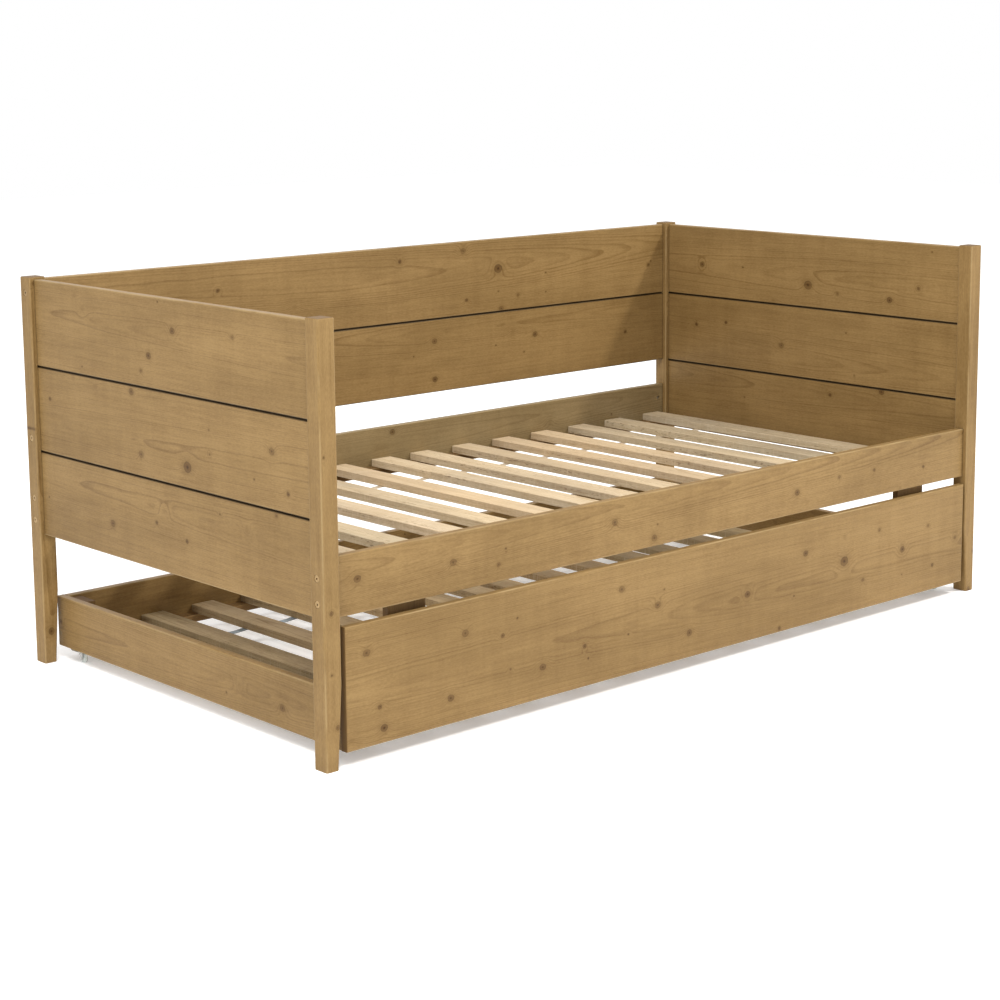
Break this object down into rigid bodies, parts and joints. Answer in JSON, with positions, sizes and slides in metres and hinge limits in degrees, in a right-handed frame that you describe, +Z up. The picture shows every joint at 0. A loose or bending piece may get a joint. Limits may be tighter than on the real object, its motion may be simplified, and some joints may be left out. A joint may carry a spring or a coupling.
{
  "type": "trundle bed",
  "caption": "Plank-sided pine daybed with an open slatted deck, and a low slatted trundle with a tall front board that rolls out on swivel casters from beneath it.",
  "frame": {"origin": "on the floor, in the middle of the four posts", "axes": "+X along the bed's length, -Y the way the trundle comes out, +Z up"},
  "size_m": [2.04, 1.076, 0.87],
  "materials": {
    "post_timber": "stained pine, satin clear coat, grain upright",
    "board_timber": "stained knotty pine, satin clear coat, grain along the board",
    "batten_timber": "stained pine, matt",
    "slat_timber": "sawn unfinished pine",
    "tape_tan": "woven webbing",
    "tape_grey": "woven webbing",
    "bolt": "dark bronze plating",
    "barrel_nut": "dull zinc",
    "screw": "yellowed zinc",
    "caster_metal": "dull zinc",
    "wheel": "matt pale grey"
  },
  "bodies": {
    "bed_frame": {"back_plank_bottom": "board_timber", "back_plank_top": "board_timber", "barrel_nuts": "barrel_nut", "frame_bolts": "bolt", "front_ledger": "batten_timber", "front_rail": "board_timber", "left_plank_bottom": "board_timber", "left_plank_middle": "board_timber", "left_plank_top": "board_timber", "post_front_left": "post_timber", "post_front_right": "post_timber", "post_rear_left": "post_timber", "post_rear_right": "post_timber", "rear_ledger": "batten_timber", "rear_rail": "board_timber", "right_plank_bottom": "board_timber", "right_plank_middle": "board_timber", "right_plank_top": "board_timber", "slat_01": "slat_timber", "slat_02": "slat_timber", "slat_03": "slat_timber", "slat_04": "slat_timber", "slat_05": "slat_timber", "slat_06": "slat_timber", "slat_07": "slat_timber", "slat_08": "slat_timber", "slat_09": "slat_timber", "slat_10": "slat_timber", "slat_11": "slat_timber", "slat_12": "slat_timber", "slat_13": "slat_timber", "slat_14": "slat_timber", "slat_tapes": "tape_tan", "stop_block_left": "batten_timber", "stop_block_right": "batten_timber"},
    "trundle": {"trundle_front_panel": "board_timber", "trundle_rear_rail": "board_timber", "trundle_left_rail": "board_timber", "trundle_right_rail": "board_timber", "trundle_front_ledger": "batten_timber", "trundle_rear_ledger": "batten_timber", "trundle_slats": "slat_timber", "trundle_tapes": "tape_grey", "corner_blocks": "batten_timber", "trundle_screws": "screw", "caster_plates": "caster_metal", "caster_screws": "screw"},
    "swivel_front_left": {"caster_fork_front_left": "caster_metal", "caster_axle_front_left": "caster_metal"},
    "wheel_front_left": {"caster_wheel_front_left": "wheel"},
    "swivel_front_right": {"caster_fork_front_right": "caster_metal", "caster_axle_front_right": "caster_metal"},
    "wheel_front_right": {"caster_wheel_front_right": "wheel"},
    "swivel_rear_left": {"caster_fork_rear_left": "caster_metal", "caster_axle_rear_left": "caster_metal"},
    "wheel_rear_left": {"caster_wheel_rear_left": "wheel"},
    "swivel_rear_right": {"caster_fork_rear_right": "caster_metal", "caster_axle_rear_right": "caster_metal"},
    "wheel_rear_right": {"caster_wheel_rear_right": "wheel"}
  },
  "joints": [
    {"name": "trundle_slide", "type": "slide", "parent": "bed_frame", "child": "trundle", "axis": [0, -1, 0], "range_m": [-0.01, 0.98]},
    {"name": "swivel_front_left", "type": "hinge", "parent": "trundle", "child": "swivel_front_left", "pos_m": [-0.951, -0.462, 0.0268], "axis": [0, 0, 1], "continuous": true},
    {"name": "wheel_front_left", "type": "hinge", "parent": "swivel_front_left", "child": "wheel_front_left", "pos_m": [-0.951, -0.469, 0.0105], "axis": [1, 0, 0], "continuous": true},
    {"name": "swivel_front_right", "type": "hinge", "parent": "trundle", "child": "swivel_front_right", "pos_m": [0.951, -0.462, 0.0268], "axis": [0, 0, 1], "continuous": true},
    {"name": "wheel_front_right", "type": "hinge", "parent": "swivel_front_right", "child": "wheel_front_right", "pos_m": [0.951, -0.469, 0.0105], "axis": [1, 0, 0], "continuous": true},
    {"name": "swivel_rear_left", "type": "hinge", "parent": "trundle", "child": "swivel_rear_left", "pos_m": [-0.951, 0.455, 0.0268], "axis": [0, 0, 1], "continuous": true},
    {"name": "wheel_rear_left", "type": "hinge", "parent": "swivel_rear_left", "child": "wheel_rear_left", "pos_m": [-0.951, 0.448, 0.0105], "axis": [1, 0, 0], "continuous": true},
    {"name": "swivel_rear_right", "type": "hinge", "parent": "trundle", "child": "swivel_rear_right", "pos_m": [0.951, 0.455, 0.0268], "axis": [0, 0, 1], "continuous": true},
    {"name": "wheel_rear_right", "type": "hinge", "parent": "swivel_rear_right", "child": "wheel_rear_right", "pos_m": [0.951, 0.448, 0.0105], "axis": [1, 0, 0], "continuous": true}
  ]
}
